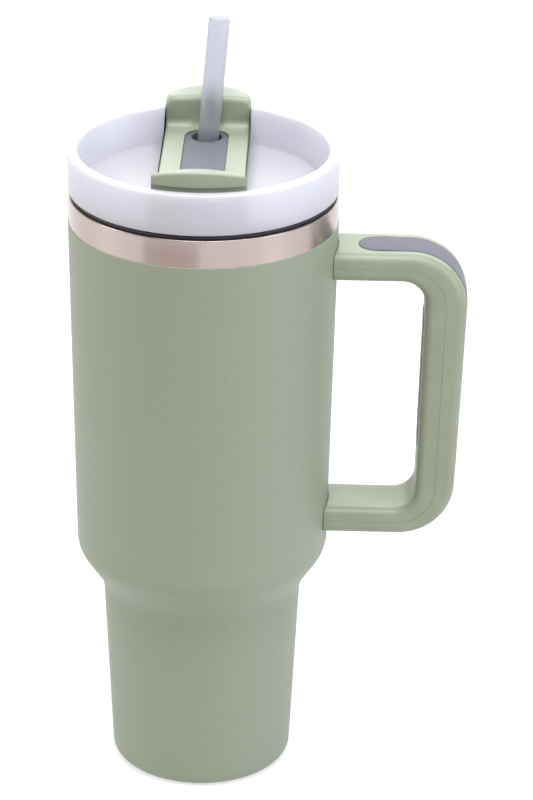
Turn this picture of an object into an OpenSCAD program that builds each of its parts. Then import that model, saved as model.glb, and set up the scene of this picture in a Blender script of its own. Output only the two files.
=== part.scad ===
// Insulated tumbler with a push-in lid, a turning cover, a straw and a bolted side handle.
// Origin: centre of the foot, on the surface the cup stands on. +X points to the handle, +Z up.
// The turning cover lies along Y, with its straw hole on the +Y side.

/* [Cup] */
// Height of the steel rim
rim_z = 231; // [215:1:245]
// Outer radius of the bare steel at the rim
rim_r = 49.56; // [47:0.01:52]
// Taper of the upper body, in degrees
upper_taper = 1.02; // [0.5:0.01:1.5]
// Height at which the shoulder starts to turn in
shoulder_z = 93.6; // [90:0.1:97]
// Radius of the shoulder's outward curve
shoulder_r = 12.3; // [10:0.1:14]
// Slope of the shoulder, in degrees from upright
shoulder_slope = 33.9; // [30:0.1:38]
// Radius of the inward curve below the shoulder
crease_r = 18.5; // [10:0.1:20]
// Radius of the lower body, carried down to the foot
base_r = 33.8; // [32:0.1:35]
// Taper of the lower body, in degrees
lower_taper = 2.7; // [2:0.1:3]
// Radius that rounds the foot
foot_r = 4; // [3:0.1:5]

/* [Walls] */
// Thickness of each steel wall
steel_t = 0.5; // [0.4:0.1:0.8]
// Thickness of the powder coat
coat_t = 0.25; // [0.2:0.05:0.3]
// Height at which the powder coat stops and bare steel starts
band_z = 220.7; // [216:0.1:224]
// Distance from the outer steel face to the drink
wall_t = 4.1; // [3.6:0.1:4.4]
// Height of the inside floor
floor_z = 8; // [7:0.1:10]

/* [Lid] */
// Outer radius of the lid
lid_r = 49.5; // [48.5:0.1:50]
// Height of the lid's lower edge
lid_z = 232.7; // [232.5:0.1:233]
// Height of the lid's top edge
lid_top_z = 248.1; // [247:0.1:249]
// Height of the lid's deck
deck_z = 235; // [234.8:0.1:235.2]
// Thickness of the deck
deck_t = 2; // [1.6:0.1:2.2]
// Inner radius of the raised wall where it meets the deck
well_r = 43.5; // [43.4:0.1:44]
// Inner radius of the raised wall at the top
mouth_r = 45.75; // [45.6:0.05:46]

/* [Turning cover] */
// Half of the cover's width
cover_w = 15.9; // [15:0.1:16.5]
// Height of the cover's top face
cover_top = 243.5; // [243:0.1:244]
// Distance from the pivot to the straw hole
hole_y = 25.8; // [25:0.1:26]
// Radius of the straw hole
hole_r = 5.7; // [5.5:0.1:5.8]
// Half of the insert's width
insert_w = 8.2; // [8:0.1:8.6]
// Height of the front tab at its middle
tab_z = 254.7; // [253:0.1:256]
// Height of the back grip at its middle
back_z = 256.3; // [255:0.1:258]

/* [Straw] */
// Outer radius of the straw
straw_r = 3.95; // [3.8:0.05:4]
// Wall of the straw
straw_wall = 0.7; // [0.5:0.1:1]
// Length of the straw
straw_len = 279.2; // [270:0.5:284]
// Lean of the straw towards the handle, in degrees
lean_x = 4.85; // [4:0.05:5]
// Lean of the straw towards the back, in degrees
lean_y = 3.5; // [2.5:0.1:3.6]

/* [Handle] */
// Top face of the upper arm
arm_top = 211.9; // [210:0.1:213]
// Thickness of the upper arm
upper_t = 10.8; // [10:0.1:11]
// Under face of the lower arm
arm_low = 98.9; // [97:0.1:100]
// Thickness of the lower arm
lower_t = 10.2; // [10:0.1:11]
// Outer face of the upright bar at its top
bar_x = 97.2; // [95:0.1:99]
// Thickness of the upright bar at its top
bar_t = 15.4; // [13:0.1:16]
// Lean of the upright bar's outer face, in degrees
bar_lean = 1.9; // [0.5:0.1:2.4]
// Lean of its inner face, in degrees
inner_lean = 1.2; // [0.5:0.1:2.4]
// Outer radius of the handle's corners
corner_r = 21; // [19:0.1:23]
// Radius of the handle's inside corners
inner_r = 8.5; // [7:0.1:10]
// Half of the handle's width
handle_w = 12.5; // [11:0.1:13]
// Radius that rounds the handle's long edges
edge_r = 3.4; // [3:0.1:4.5]
// Wall of the moulded handle halves
handle_wall = 2.4; // [2:0.1:2.6]

/* [Hidden] */
$fn = 96;
sage = "#9fab94";
steel = "#b9b4ae";
milky = "#dfe2ec";
charcoal = "#3a3d42";
grip_grey = "#6b7274";
rubber_white = "#e8e8e6";

gap = 0.3;            // clearance between bodies that move apart
run = 0.1;            // running clearance of the pivot
lid_chamfer = 0.8;
edge_round = 1;
plug_z = 220;         // lower end of the lid's plug
plug_r = 42.6;
plug_t = 2.6;
bead_r = 43.6;
bead_top = 223.7;
post_r = 4.5;
seal_t = 1.9;
seal_inset = 1.5;
cover_gap = 0.8;      // between the cover and the raised wall round it
seal_r = well_r - cover_gap - seal_inset;
insert_t = 2.5;
insert_y = 24.4;       // centre of the insert's round end
insert_drop = 0.7;    // how far the insert lies below the cover's top face
insert_top = cover_top - insert_drop;
insert_low = insert_top - insert_t;
seal_low = deck_z + gap;
seal_top = seal_low + seal_t;
drink_y = 24;          // centre of the drinking hole in the deck
mouth_w = 26;
mouth_l = 20;
mouth_corner = 6;
tab_w = 16.8;
tab_y = 39.6;
insert_end = tab_y - 0.8;
tab_r = 44.5;
tab_drop = 2.4;       // how far the tab's top falls from its middle to its ends
back_drop = 4.2;
groove_y = 29.5;      // axis of the straw's groove in the back grip
lip_z = 248.8;        // the step across the front tab's face
lip_step = 0.6;
crown_room = 3;       // blocks reach this far above the crown that trims them
back_y = 35;
back_r = 46;
back_low = lid_top_z + 1.2;
port_r = 1.5;
plate_r = 28.6;
plate_z = 2.2;
cap_r = 12;
cap_z = 0.9;
getter_x = 14;
getter_r = 5;
bracket_w = 7;
bracket_t = 3;
bracket_end = 68;
foot_w = 9;
foot_h = 4;
foot_t = 1.2;
screw_x = 61;
shank_r = 1.5;
head_r = 2.8;
head_t = 1.2;
plug_cap_t = 0.9;
boss_r = 4.6;
saddle_gap = 0.5;
arm_steps = 6;
corner_steps = 10;
bar_steps = 14;
round_steps = 4;
flat_steps = 6;
grip_t = 1.2;
grip_proud = 0.25;
grip_w = 6.3;
strip_w = 6.3;
recess_lift = 3;

// Plane curves -------------------------------------------------------------------------------
function polar(c, r, a) = [c[0] + r * cos(a), c[1] + r * sin(a)];
function arc(c, r, a0, a1, n) = [for (i = [0:n]) polar(c, r, a0 + (a1 - a0) * i / n)];
function mix(a, b, t) = a + (b - a) * t;
function reversed(list) = [for (i = [len(list) - 1:-1:0]) list[i]];

// Radii of the two tapered bodies at a height.
function upper_at(z) = rim_r - (rim_z - z) * tan(upper_taper);
function lower_at(z) = base_r + z * tan(lower_taper);

shoulder_c = [upper_at(shoulder_z) - shoulder_r, shoulder_z];
slope_top = polar(shoulder_c, shoulder_r, -shoulder_slope);
slope_run = (slope_top[0] - lower_at(slope_top[1]))
          / (sin(shoulder_slope) - cos(shoulder_slope) * tan(lower_taper));
crease_k = slope_top - slope_run * [sin(shoulder_slope), cos(shoulder_slope)];
crease_run = crease_r * tan((shoulder_slope - lower_taper) / 2);
crease_b = crease_k - crease_run * [sin(lower_taper), cos(lower_taper)];
crease_c = crease_b + crease_r * [cos(lower_taper), -sin(lower_taper)];

// The cup's outline from rim to foot, moved inwards by d, with its foot at z0 rounded by fr.
function wall(d, z0, fr) = concat(
    [[rim_r - d, rim_z]],
    arc(shoulder_c, shoulder_r - d, -upper_taper, -shoulder_slope, 8),
    arc(crease_c, crease_r + d, 180 - shoulder_slope, 180 - lower_taper, 8),
    arc([lower_at(z0 + fr) - (d + fr) / cos(lower_taper), z0 + fr], fr, -lower_taper, -90, 6));

// Vacuum-walled cup --------------------------------------------------------------------------
module outer_shell() {
    color(steel) rotate_extrude()
        polygon(concat(wall(0, 0, foot_r),
                       [[plate_r, 0], [plate_r, steel_t]],
                       reversed(wall(steel_t, steel_t, foot_r - steel_t))));
}

module powder_coat() {
    color(sage) difference() {
        rotate_extrude() difference() {
            intersection() {
                polygon(concat(wall(-coat_t, 0, foot_r + coat_t), [[0, 0], [0, rim_z]]));
                translate([0, 2 * coat_t]) square([2 * rim_r, band_z - 2 * coat_t]);
            }
            polygon(concat(wall(0, 0, foot_r), [[0, 0], [0, rim_z]]));
        }
        bracket_foot(arm_mid_top, foot_t);
        bracket_foot(arm_mid_low, foot_t);
    }
}

module inner_liner() {
    inner = wall(wall_t, floor_z, 2 * foot_r - steel_t);
    outer = wall(wall_t - steel_t, floor_z - steel_t, 2 * foot_r);
    color(steel) rotate_extrude()
        polygon(concat([[0, floor_z]], reversed(inner),
                       [[rim_r - steel_t, rim_z], [rim_r - steel_t, rim_z - steel_t],
                        [outer[0][0], rim_z - steel_t]],
                       [for (i = [1:len(outer) - 1]) outer[i]], [[0, floor_z - steel_t]]));
}

module base_plate() {
    color(steel) difference() {
        cylinder(h = plate_z + steel_t, r = plate_r);
        translate([0, 0, -1]) cylinder(h = plate_z + 1, r = plate_r - steel_t);
        cylinder(h = 2 * plate_z, r = port_r);
    }
}

module vacuum_seal() {
    color(charcoal) {
        translate([0, 0, plate_z]) cylinder(h = steel_t, r = port_r);
        translate([0, 0, plate_z - steel_t / 2]) cylinder(h = steel_t / 2, r = 2 * port_r);
    }
}

module getter() {
    color(charcoal) translate([getter_x, 0, plate_z + steel_t]) cylinder(h = 2, r = getter_r);
}

module port_cap() {
    color(steel) difference() {
        translate([0, 0, cap_z]) cylinder(h = plate_z - cap_z, r = cap_r);
        translate([0, 0, cap_z + steel_t / 2]) cylinder(h = plate_z, r = cap_r - steel_t);
    }
}

// Handle -------------------------------------------------------------------------------------
arm_mid_top = arm_top - upper_t / 2;
arm_mid_low = arm_low + lower_t / 2;
function bar_at(z) = bar_x - (arm_top - corner_r - z) * tan(bar_lean);
function bar_in(z) = bar_x - bar_t - (arm_top - corner_r - z) * tan(inner_lean);

// Outer and inner outlines of the handle in the XZ plane: arm end, corner, bar, corner, arm end.
top_c = [bar_at(arm_top - corner_r) - corner_r, arm_top - corner_r];
low_c = [bar_at(arm_low + corner_r) - corner_r, arm_low + corner_r];
top_i = [bar_in(arm_top - corner_r) - inner_r, arm_top - upper_t - inner_r];
low_i = [bar_in(arm_low + corner_r) - inner_r, arm_low + lower_t + inner_r];
arm_root = 40;
function line_pts(a, b, n) = [for (i = [0:n - 1]) mix(a, b, i / n)];
function outline(ct, cb, r, zt, zb) = concat(
    line_pts([arm_root, zt], [ct[0], zt], arm_steps),
    arc(ct, r, 90, 0, corner_steps),
    line_pts(ct + [r, 0], cb + [r, 0], bar_steps),
    arc(cb, r, 0, -90, corner_steps),
    reversed(line_pts([arm_root, zb], [cb[0], zb], arm_steps)));
outer_line = outline(top_c, low_c, corner_r, arm_top, arm_low);
inner_line = outline(top_i, low_i, inner_r, arm_top - upper_t, arm_low + lower_t);
stations = len(outer_line);

// A half section, as [across, share of the half thickness], with its long edge rounded.
function half_ring(w, t, r) = concat(
    [[-w, 0]],
    arc([r - w, t - r], r, 180, 90, round_steps),
    [for (i = [1:flat_steps - 1]) [mix(r - w, w - r, i / flat_steps), t]],
    arc([w - r, t - r], r, 90, 0, round_steps),
    [[w, 0]]);

// A point of station i: y across, h out of the mid surface; side is 1 outwards and -1 inwards.
// The arms' ends follow the round body.
function handle_pt(i, y, h, side) =
    let (o = outer_line[i], n = inner_line[i], m = (o + n) / 2,
         u = side * (o - n) / norm(o - n), p = m + h * u,
         root = sqrt(pow(upper_at(p[1]) + saddle_gap, 2) - y * y),
         x = mix(root, top_c[0] - 12, (p[0] - arm_root) / (top_c[0] - 12 - arm_root)))
    [p[0] < top_c[0] - 12 ? x : p[0], y, p[1]];

// One moulded half: a channel whose open side lies on the mid surface.
module handle_half(side) {
    half_t = [for (i = [0:stations - 1]) norm(outer_line[i] - inner_line[i]) / 2];
    skin = [for (i = [0:stations - 1]) half_ring(handle_w, half_t[i], edge_r)];
    core = [for (i = [0:stations - 1])
            half_ring(handle_w - handle_wall, half_t[i] - handle_wall, edge_r - handle_wall)];
    n = len(skin[0]);
    pts = [for (i = [0:stations - 1]) each concat(
              [for (q = skin[i]) handle_pt(i, q[0], q[1], side)],
              [for (q = reversed(core[i])) handle_pt(i, q[0], q[1], side)])];
    m = 2 * n;
    last = (stations - 1) * m;
    sides = [for (i = [0:stations - 2], j = [0:m - 1])
             let (a = i * m + j, b = i * m + (j + 1) % m) each [[a, b, b + m], [a, b + m, a + m]]];
    caps = [for (j = [0:n - 2])
            let (a = j, b = j + 1, c = m - 2 - j, d = m - 1 - j)
            each [[b, a, d], [b, d, c], [last + a, last + b, last + d], [last + b, last + c, last + d]]];
    faces = concat(sides, caps);
    polyhedron(points = pts, faces = side > 0 ? faces : [for (f = faces) reversed(f)], convexity = 6);
}

// A raised pad swept along stations a to b of the handle's skin, for the two soft grips.
module grip_pad(side, a, b, w, t, lift) {
    ring = [for (i = [0:round_steps]) [-w + (1 - cos(90 * i / round_steps)), sin(90 * i / round_steps)]];
    section = concat([[-w, 0]], ring, [for (q = reversed(ring)) [-q[0], q[1]]], [[w, 0]]);
    m = len(section);
    pts = [for (i = [a:b]) each
           [for (q = section)
            let (half = norm(outer_line[i] - inner_line[i]) / 2,
                 ends = min((i - a) / 1.5, (b - i) / 1.5, 1))
            handle_pt(i, q[0] * (0.55 + 0.45 * sqrt(ends)), half - t + q[1] * (t + lift), side)]];
    count = b - a;
    sides = [for (i = [0:count - 1], j = [0:m - 1])
             let (p = i * m + j, q = i * m + (j + 1) % m) each [[p, q, q + m], [p, q + m, p + m]]];
    caps = [[for (j = [m - 1:-1:0]) j], [for (j = [0:m - 1]) count * m + j]];
    faces = concat(sides, caps);
    polyhedron(points = pts, faces = side > 0 ? faces : [for (f = faces) reversed(f)], convexity = 4);
}

grip_a = 2;
grip_b = arm_steps + corner_steps + bar_steps;
strip_a = arm_steps + corner_steps + 1;
strip_b = strip_a + 10;

module outer_recess() {
    grip_pad(1, grip_a, grip_b, grip_w, grip_t, recess_lift);
}

module inner_recess() {
    grip_pad(-1, strip_a, strip_b, strip_w, grip_t, recess_lift);
}

// Inside each arm: a boss under the bracket, and a stepped hole for its screw and plug.
module screw_boss(face_z, mid_z) {
    translate([screw_x, 0, face_z + handle_wall / 2])
        cylinder(h = mid_z - bracket_t / 2 - face_z - handle_wall / 2, r = boss_r);
}

module screw_hole(face_z) {
    translate([screw_x, 0, face_z - 1]) cylinder(h = handle_w, r = shank_r);
    translate([screw_x, 0, face_z - 1]) cylinder(h = 1 + plug_cap_t + head_t, r = head_r);
}

module handle_outer_half() {
    color(sage) difference() {
        union() {
            difference() {
                handle_half(1);
                outer_recess();
            }
            screw_boss(arm_low, arm_mid_low);
        }
        screw_hole(arm_low);
    }
}

module handle_inner_half() {
    color(sage) difference() {
        union() {
            difference() {
                handle_half(-1);
                inner_recess();
            }
            screw_boss(arm_top - upper_t, arm_mid_top);
        }
        screw_hole(arm_top - upper_t);
    }
}

module grip_outer() {
    color(grip_grey) grip_pad(1, grip_a, grip_b, grip_w, grip_t, grip_proud);
}

module grip_inner() {
    color(grip_grey) grip_pad(-1, strip_a, strip_b, strip_w, grip_t, grip_proud);
}

// The part of a bracket that is welded to the shell, between the shell and a larger cone.
module bracket_foot(mid_z, t) {
    intersection() {
        difference() {
            cylinder(h = rim_z, r1 = upper_at(0) + t, r2 = rim_r + t);
            translate([0, 0, -1]) cylinder(h = rim_z + 1, r1 = upper_at(-1), r2 = rim_r);
        }
        translate([0, -foot_w, mid_z - foot_h / 2]) cube([2 * rim_r, 2 * foot_w, foot_h]);
    }
}

module bracket(mid_z) {
    color(steel) {
        bracket_foot(mid_z, foot_t);
        difference() {
            translate([0, -bracket_w, mid_z - bracket_t / 2]) cube([bracket_end, 2 * bracket_w, bracket_t]);
            cylinder(h = rim_z, r1 = upper_at(0) + foot_t / 2, r2 = rim_r + foot_t / 2);
            translate([screw_x, 0, mid_z - bracket_t]) cylinder(h = 2 * bracket_t, r = shank_r);
        }
    }
}

module upper_bracket() {
    bracket(arm_mid_top);
}

module lower_bracket() {
    bracket(arm_mid_low);
}

module screw(face_z, mid_z) {
    head_z = face_z + plug_cap_t;
    color(steel) {
        translate([screw_x, 0, head_z]) cylinder(h = head_t, r = head_r);
        translate([screw_x, 0, head_z + head_t])
            cylinder(h = mid_z + bracket_t / 2 - head_z - head_t, r = shank_r);
    }
}

module upper_screw() {
    screw(arm_top - upper_t, arm_mid_top);
}

module lower_screw() {
    screw(arm_low, arm_mid_low);
}

module screw_plug(face_z) {
    color(sage) translate([screw_x, 0, face_z]) cylinder(h = plug_cap_t, r = head_r);
}

module upper_plug() {
    screw_plug(arm_top - upper_t);
}

module lower_plug() {
    screw_plug(arm_low);
}

// Lid ----------------------------------------------------------------------------------------
// A rectangle with round corners, centred on the origin.
module round_rect(w, l, r) {
    square([w - 2 * r, l], center = true);
    square([w, l - 2 * r], center = true);
    for (x = [-1, 1], y = [-1, 1]) translate([x * (w / 2 - r), y * (l / 2 - r)]) circle(r);
}

well_fillet = 1;
hub_r = 9;
hub_z = deck_z - deck_t - 0.8;
module lid_body() {
    color(milky) difference() {
        rotate_extrude() polygon(concat(
            [[0, deck_z]],
            arc([well_r - well_fillet, deck_z + well_fillet], well_fillet, -90, -10, 5),
            arc([mouth_r + edge_round, lid_top_z - edge_round], edge_round, 180, 90, 5),
            arc([lid_r - edge_round, lid_top_z - edge_round], edge_round, 90, 0, 5),
            [[lid_r, lid_z + lid_chamfer], [lid_r - lid_chamfer, lid_z],
             [plug_r, lid_z], [plug_r, bead_top], [bead_r, bead_top - 0.6],
             [bead_r, plug_z + 1.5], [bead_r - 1, plug_z], [plug_r - plug_t, plug_z],
             [plug_r - plug_t, deck_z - deck_t], [hub_r, deck_z - deck_t], [hub_r, hub_z], [0, hub_z]]));
        translate([0, 0, plug_z]) cylinder(h = lid_top_z - plug_z, r = post_r + run);
        translate([0, drink_y, plug_z]) linear_extrude(lid_top_z - plug_z)
            round_rect(mouth_w, mouth_l, mouth_corner);
    }
}

gasket_in = plug_r + gap;
gasket_sleeve = 1.2;
lip_reach = 45;
module lid_gasket() {
    flange_low = rim_z + gap;
    flange_top = lid_z - gap;
    flange_r = lid_r - lid_chamfer;
    low = bead_top + gap;
    color(charcoal) rotate_extrude() {
        translate([gasket_in, flange_low]) square([flange_r - gasket_in, flange_top - flange_low]);
        translate([gasket_in, low]) square([gasket_sleeve, flange_top - low]);
        for (z = [low + 0.3, low + 3.2])
            polygon([[gasket_in, z], [lip_reach, z + 0.6], [lip_reach, z + 1], [gasket_in, z + 1.2]]);
    }
}

// Turning cover ------------------------------------------------------------------------------
// What the cover has below the lid's top edge stays inside this cone.
module cover_envelope(low, high) {
    slope = (mouth_r - well_r) / (lid_top_z - deck_z);
    low_r = well_r - cover_gap + slope * (low - deck_z);
    translate([0, 0, low]) cylinder(h = high - low, r1 = low_r, r2 = low_r + slope * (high - low));
}

// A crowned top: a drum lying along Y whose highest line is at z and which falls by drop at half width w.
module crown(z, w, drop) {
    r = (w * w + drop * drop) / (2 * drop);
    translate([0, 0, z - r]) rotate([90, 0, 0]) cylinder(h = 4 * back_r, r = r, center = true, $fn = 192);
}

module front_tab() {
    intersection() {
        union() {
            intersection() {
                translate([-tab_w, -lid_r, seal_low]) cube([2 * tab_w, lid_r - tab_y, lip_z - seal_low]);
                cover_envelope(seal_low, lip_z);
                cylinder(h = tab_z, r = tab_r - lip_step);
            }
            intersection() {
                translate([-tab_w, -lid_r, lip_z]) cube([2 * tab_w, lid_r - tab_y, tab_z - lip_z + crown_room]);
                cylinder(h = tab_z + crown_room, r = tab_r);
            }
        }
        crown(tab_z, tab_w, tab_drop);
    }
}

module back_grip() {
    intersection() {
        union() {
            intersection() {
                translate([-cover_w, back_y, seal_low]) cube([2 * cover_w, back_r, back_low - seal_low]);
                cover_envelope(seal_low, back_low);
            }
            intersection() {
                translate([-cover_w, back_y, back_low])
                    cube([2 * cover_w, back_r, back_z - back_low + crown_room]);
                cylinder(h = back_z + crown_room, r = back_r);
            }
        }
        crown(back_z, cover_w, back_drop);
    }
}

// The soft corner between the back grip and the rails.
module back_fillet() {
    fillet = 3;
    root = 0.5;       // how far the corner piece reaches into its neighbours
    profile = concat([[back_y + root, cover_top - root], [back_y + root, cover_top + fillet]],
                     arc([back_y - fillet, cover_top + fillet], fillet, 0, -90, 8),
                     [[back_y - fillet, cover_top - root]]);
    translate([-cover_w, 0, 0]) rotate([90, 0, 90]) linear_extrude(2 * cover_w) polygon(profile);
}

module seal_outline() {
    difference() {
        intersection() {
            square([2 * (cover_w - seal_inset), 4 * cover_w + 12], center = true);
            circle(seal_r);
        }
        circle(post_r + run);
        translate([0, hole_y]) circle(hole_r + 0.5);
    }
}

module cover_bar() {
    color(sage) difference() {
        union() {
            intersection() {
                translate([-cover_w, -tab_y - 1, seal_low]) cube([2 * cover_w, tab_y + back_y + 2, cover_top - seal_low]);
                cover_envelope(seal_low, cover_top);
            }
            back_grip();
            back_fillet();
            front_tab();
        }
        intersection() {
            translate([-cover_w + seal_inset, -2 * cover_w - 6, seal_low - 1])
                cube([2 * (cover_w - seal_inset), 4 * cover_w + 12, seal_t + 1]);
            cylinder(h = cover_top, r = seal_r);
        }
        translate([0, 0, insert_low]) linear_extrude(cover_top) insert_outline();
        translate([0, hole_y, seal_low]) cylinder(h = cover_top, r = hole_r);
        translate([0, 0, seal_low]) cylinder(h = cover_top, r = post_r);
        translate([0, 0, insert_low - post_head_t]) cylinder(h = cover_top, r = post_head_r);
        translate([0, groove_y, cover_top - 1]) cylinder(h = back_z, r = insert_w);
    }
}

module insert_outline() {
    translate([-insert_w, -insert_end]) square([2 * insert_w, insert_end + insert_y]);
    translate([0, insert_y]) circle(insert_w);
}

module cover_insert() {
    color(grip_grey) difference() {
        translate([0, 0, insert_low]) linear_extrude(insert_t) insert_outline();
        translate([0, hole_y, insert_low - 1]) cylinder(h = insert_t + 2, r = hole_r);
    }
}

module cover_seal() {
    color(rubber_white) translate([0, 0, seal_low]) linear_extrude(seal_t) seal_outline();
}

post_head_r = 6.5;
post_head_t = 1.4;
clip_t = 1;
clip_z = hub_z - gap - clip_t;
clip_r = 7.5;
clip_groove_r = 3.6;
post_end = clip_z - 1.2;
ring_z = deck_z - 1.2;
ring_minor = 0.8;
module pivot_post() {
    color(milky) difference() {
        union() {
            translate([0, 0, insert_low - post_head_t]) cylinder(h = post_head_t, r = post_head_r);
            translate([0, 0, post_end]) cylinder(h = insert_low - post_end, r = post_r);
        }
        translate([0, 0, clip_z]) ring_cut(clip_t, clip_groove_r);
        translate([0, 0, ring_z - ring_minor]) ring_cut(2 * ring_minor, post_r - 2 * ring_minor);
    }
}

// A groove of height h that leaves a neck of radius r.
module ring_cut(h, r) {
    difference() {
        cylinder(h = h, r = 2 * post_r);
        translate([0, 0, -1]) cylinder(h = h + 2, r = r);
    }
}

module pivot_clip() {
    color(steel) translate([0, 0, clip_z]) difference() {
        cylinder(h = clip_t, r = clip_r);
        translate([0, 0, -1]) cylinder(h = clip_t + 2, r = clip_groove_r);
        translate([0, -clip_groove_r * 0.8, -1]) cube([clip_r + 1, 1.6 * clip_groove_r, clip_t + 2]);
    }
}

module pivot_oring() {
    color(charcoal) translate([0, 0, ring_z]) rotate_extrude()
        translate([post_r - ring_minor, 0]) circle(ring_minor, $fn = 32);
}

// Straw --------------------------------------------------------------------------------------
straw_at = [0.6, 24.9, cover_top];      // where the straw's axis crosses the cover's top face
straw_below = 234.2;                  // length of straw below that point
straw_dir = [tan(lean_x), tan(lean_y), 1];
module straw() {
    turn = atan2(straw_dir[1], straw_dir[0]);
    tilt = atan2(norm([straw_dir[0], straw_dir[1]]), 1);
    color(milky) translate(straw_at) rotate([0, 0, turn]) rotate([0, tilt, 0])
        translate([0, 0, -straw_below]) difference() {
            cylinder(h = straw_len, r = straw_r);
            translate([0, 0, -1]) cylinder(h = straw_len + 2, r = straw_r - straw_wall);
        }
}

outer_shell();
powder_coat();
inner_liner();
base_plate();
vacuum_seal();
getter();
port_cap();
upper_bracket();
lower_bracket();
handle_outer_half();
handle_inner_half();
grip_outer();
grip_inner();
upper_screw();
lower_screw();
upper_plug();
lower_plug();
lid_body();
lid_gasket();
cover_bar();
cover_insert();
cover_seal();
pivot_post();
pivot_clip();
pivot_oring();
straw();
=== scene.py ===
import bmesh
import bpy
import numpy as np
from mathutils import Matrix, Vector


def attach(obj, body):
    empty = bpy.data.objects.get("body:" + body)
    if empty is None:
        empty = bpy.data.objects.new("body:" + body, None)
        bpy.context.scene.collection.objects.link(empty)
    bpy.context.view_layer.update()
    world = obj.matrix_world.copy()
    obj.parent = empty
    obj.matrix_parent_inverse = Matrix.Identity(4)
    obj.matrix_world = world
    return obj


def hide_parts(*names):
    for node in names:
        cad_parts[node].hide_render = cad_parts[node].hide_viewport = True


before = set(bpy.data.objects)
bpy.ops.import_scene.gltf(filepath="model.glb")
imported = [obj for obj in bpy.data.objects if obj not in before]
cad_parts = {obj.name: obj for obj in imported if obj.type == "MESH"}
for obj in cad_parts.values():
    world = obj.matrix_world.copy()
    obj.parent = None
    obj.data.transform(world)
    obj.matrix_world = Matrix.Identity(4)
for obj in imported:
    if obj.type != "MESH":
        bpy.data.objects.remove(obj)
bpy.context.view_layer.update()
mm = 0.001
tau = 2 * np.pi
rad = np.radians
mergeDistance, tinyEdge = 1e-6, 1e-7  # metres
sharpAngle = rad(40)
drillSides = 96
print("frame loaded")


# small tools
def toLinear(hexColour):
    # sRGB to linear, one channel at a time
    srgb = np.array([int(hexColour[i:i + 2], 16) for i in (1, 3, 5)]) / 255
    linear = np.where(srgb <= 0.04045, srgb / 12.92, ((srgb + 0.055) / 1.055) ** 2.4)
    return (*linear, 1.0)


def addNode(tree, kind, settings=None, links=None):
    # one shader node: settings are its properties or its sockets' values, links are its inputs
    node = tree.nodes.new(kind)
    for name, value in (settings or {}).items():
        if isinstance(name, int) or name in node.inputs:
            node.inputs[name].default_value = value
        else:
            setattr(node, name, value)
    for name, source in (links or {}).items():
        tree.links.new(source, node.inputs[name])
    return node


def arc(centre, radius, start, end, steps):
    # points on a circle from one angle to another, in degrees, both ends included
    angle = rad(np.linspace(start, end, steps + 1))
    return np.stack([centre[0] + radius * np.cos(angle), centre[1] + radius * np.sin(angle)], 1)


def roundedLoop(points, radii, steps=5, hold=0.25):
    # a closed outline whose corners become arcs: each arc touches both sides at radius * tan(turn / 2)
    # from the corner, and one more point holds the flat side straight next to each arc
    points = np.array(points, float)
    before = points - np.roll(points, 1, 0)
    after = np.roll(points, -1, 0) - points
    lengthBefore = np.linalg.norm(before, axis=1)
    lengthAfter = np.linalg.norm(after, axis=1)
    before /= lengthBefore[:, None]
    after /= lengthAfter[:, None]
    out = []
    for p, a, b, la, lb, r in zip(points, before, after, lengthBefore, lengthAfter, radii):
        turn = np.arctan2(a[0] * b[1] - a[1] * b[0], a @ b)
        if r <= 0 or abs(turn) < 1e-3:
            out.append(np.repeat(p[None], steps + 3 if r > 0 else 1, 0))  # as many points as an arc has
            continue
        reach = min(r * np.tan(abs(turn) / 2), 0.49 * la, 0.49 * lb)
        radius = reach / np.tan(abs(turn) / 2)
        side = np.sign(turn) * np.array([-a[1], a[0]])
        swing = np.linspace(0, abs(turn), steps + 1)[:, None]
        curve = p - a * reach + side * radius + radius * (a * np.sin(swing) - side * np.cos(swing))
        spareA = min(hold, 0.45 * (0.5 * la - reach)) if 0.5 * la > reach else 0
        spareB = min(hold, 0.45 * (0.5 * lb - reach)) if 0.5 * lb > reach else 0
        out += [(curve[0] - a * spareA)[None], curve, (curve[-1] + b * spareB)[None]]
    return np.concatenate(out)


def gridMesh(name, grid, wrapRows=True):
    # a grid is rows x columns x xyz in mm; quads join neighbours, the last column joins the first,
    # and with wrapRows the last row does too
    rows, columns = grid.shape[:2]
    index = np.arange(rows * columns).reshape(rows, columns)
    if wrapRows:
        index = np.concatenate([index, index[:1]])
    index = np.concatenate([index, index[:, :1]], 1)
    quads = np.stack([index[:-1, :-1], index[:-1, 1:], index[1:, 1:], index[1:, :-1]], -1).reshape(-1, 4)
    mesh = bpy.data.meshes.new(name)
    mesh.from_pydata((grid.reshape(-1, 3) * mm).tolist(), [], quads.tolist())
    return mesh


def tidyMesh(mesh, others=()):
    # merges doubles, turns every face outwards and smooths all but the sharp edges
    work = bmesh.new()
    for part in (mesh, *others):
        work.from_mesh(part)
    bmesh.ops.remove_doubles(work, verts=work.verts, dist=mergeDistance)
    bmesh.ops.dissolve_degenerate(work, dist=tinyEdge, edges=work.edges)
    bmesh.ops.recalc_face_normals(work, faces=work.faces)
    work.to_mesh(mesh)
    work.free()
    mesh.shade_smooth()
    mesh.set_sharp_from_angle(angle=sharpAngle)


def gridPiece(name, grid, material, body, replaced, wrapRows=True):
    # a piece from one grid, tied to its body and standing in for one node
    mesh = gridMesh(name, grid, wrapRows)
    tidyMesh(mesh)
    mesh.materials.append(material)
    piece = bpy.data.objects.new(name, mesh)
    bpy.context.scene.collection.objects.link(piece)
    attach(piece, body)
    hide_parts(replaced)
    return piece


def joinInto(piece, grid, wrapRows=True):
    # adds one more closed shell to a piece
    tidyMesh(piece.data, [gridMesh("shell", grid, wrapRows)])


def revolve(profile, columns=192):
    # an outline of (radius, height) points turned about the Z axis
    angle = np.linspace(0, tau, columns, endpoint=False)
    r, z = profile[:, 0, None], profile[:, 1, None]
    return np.stack([r * np.cos(angle), r * np.sin(angle), z + 0 * angle], -1)


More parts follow.
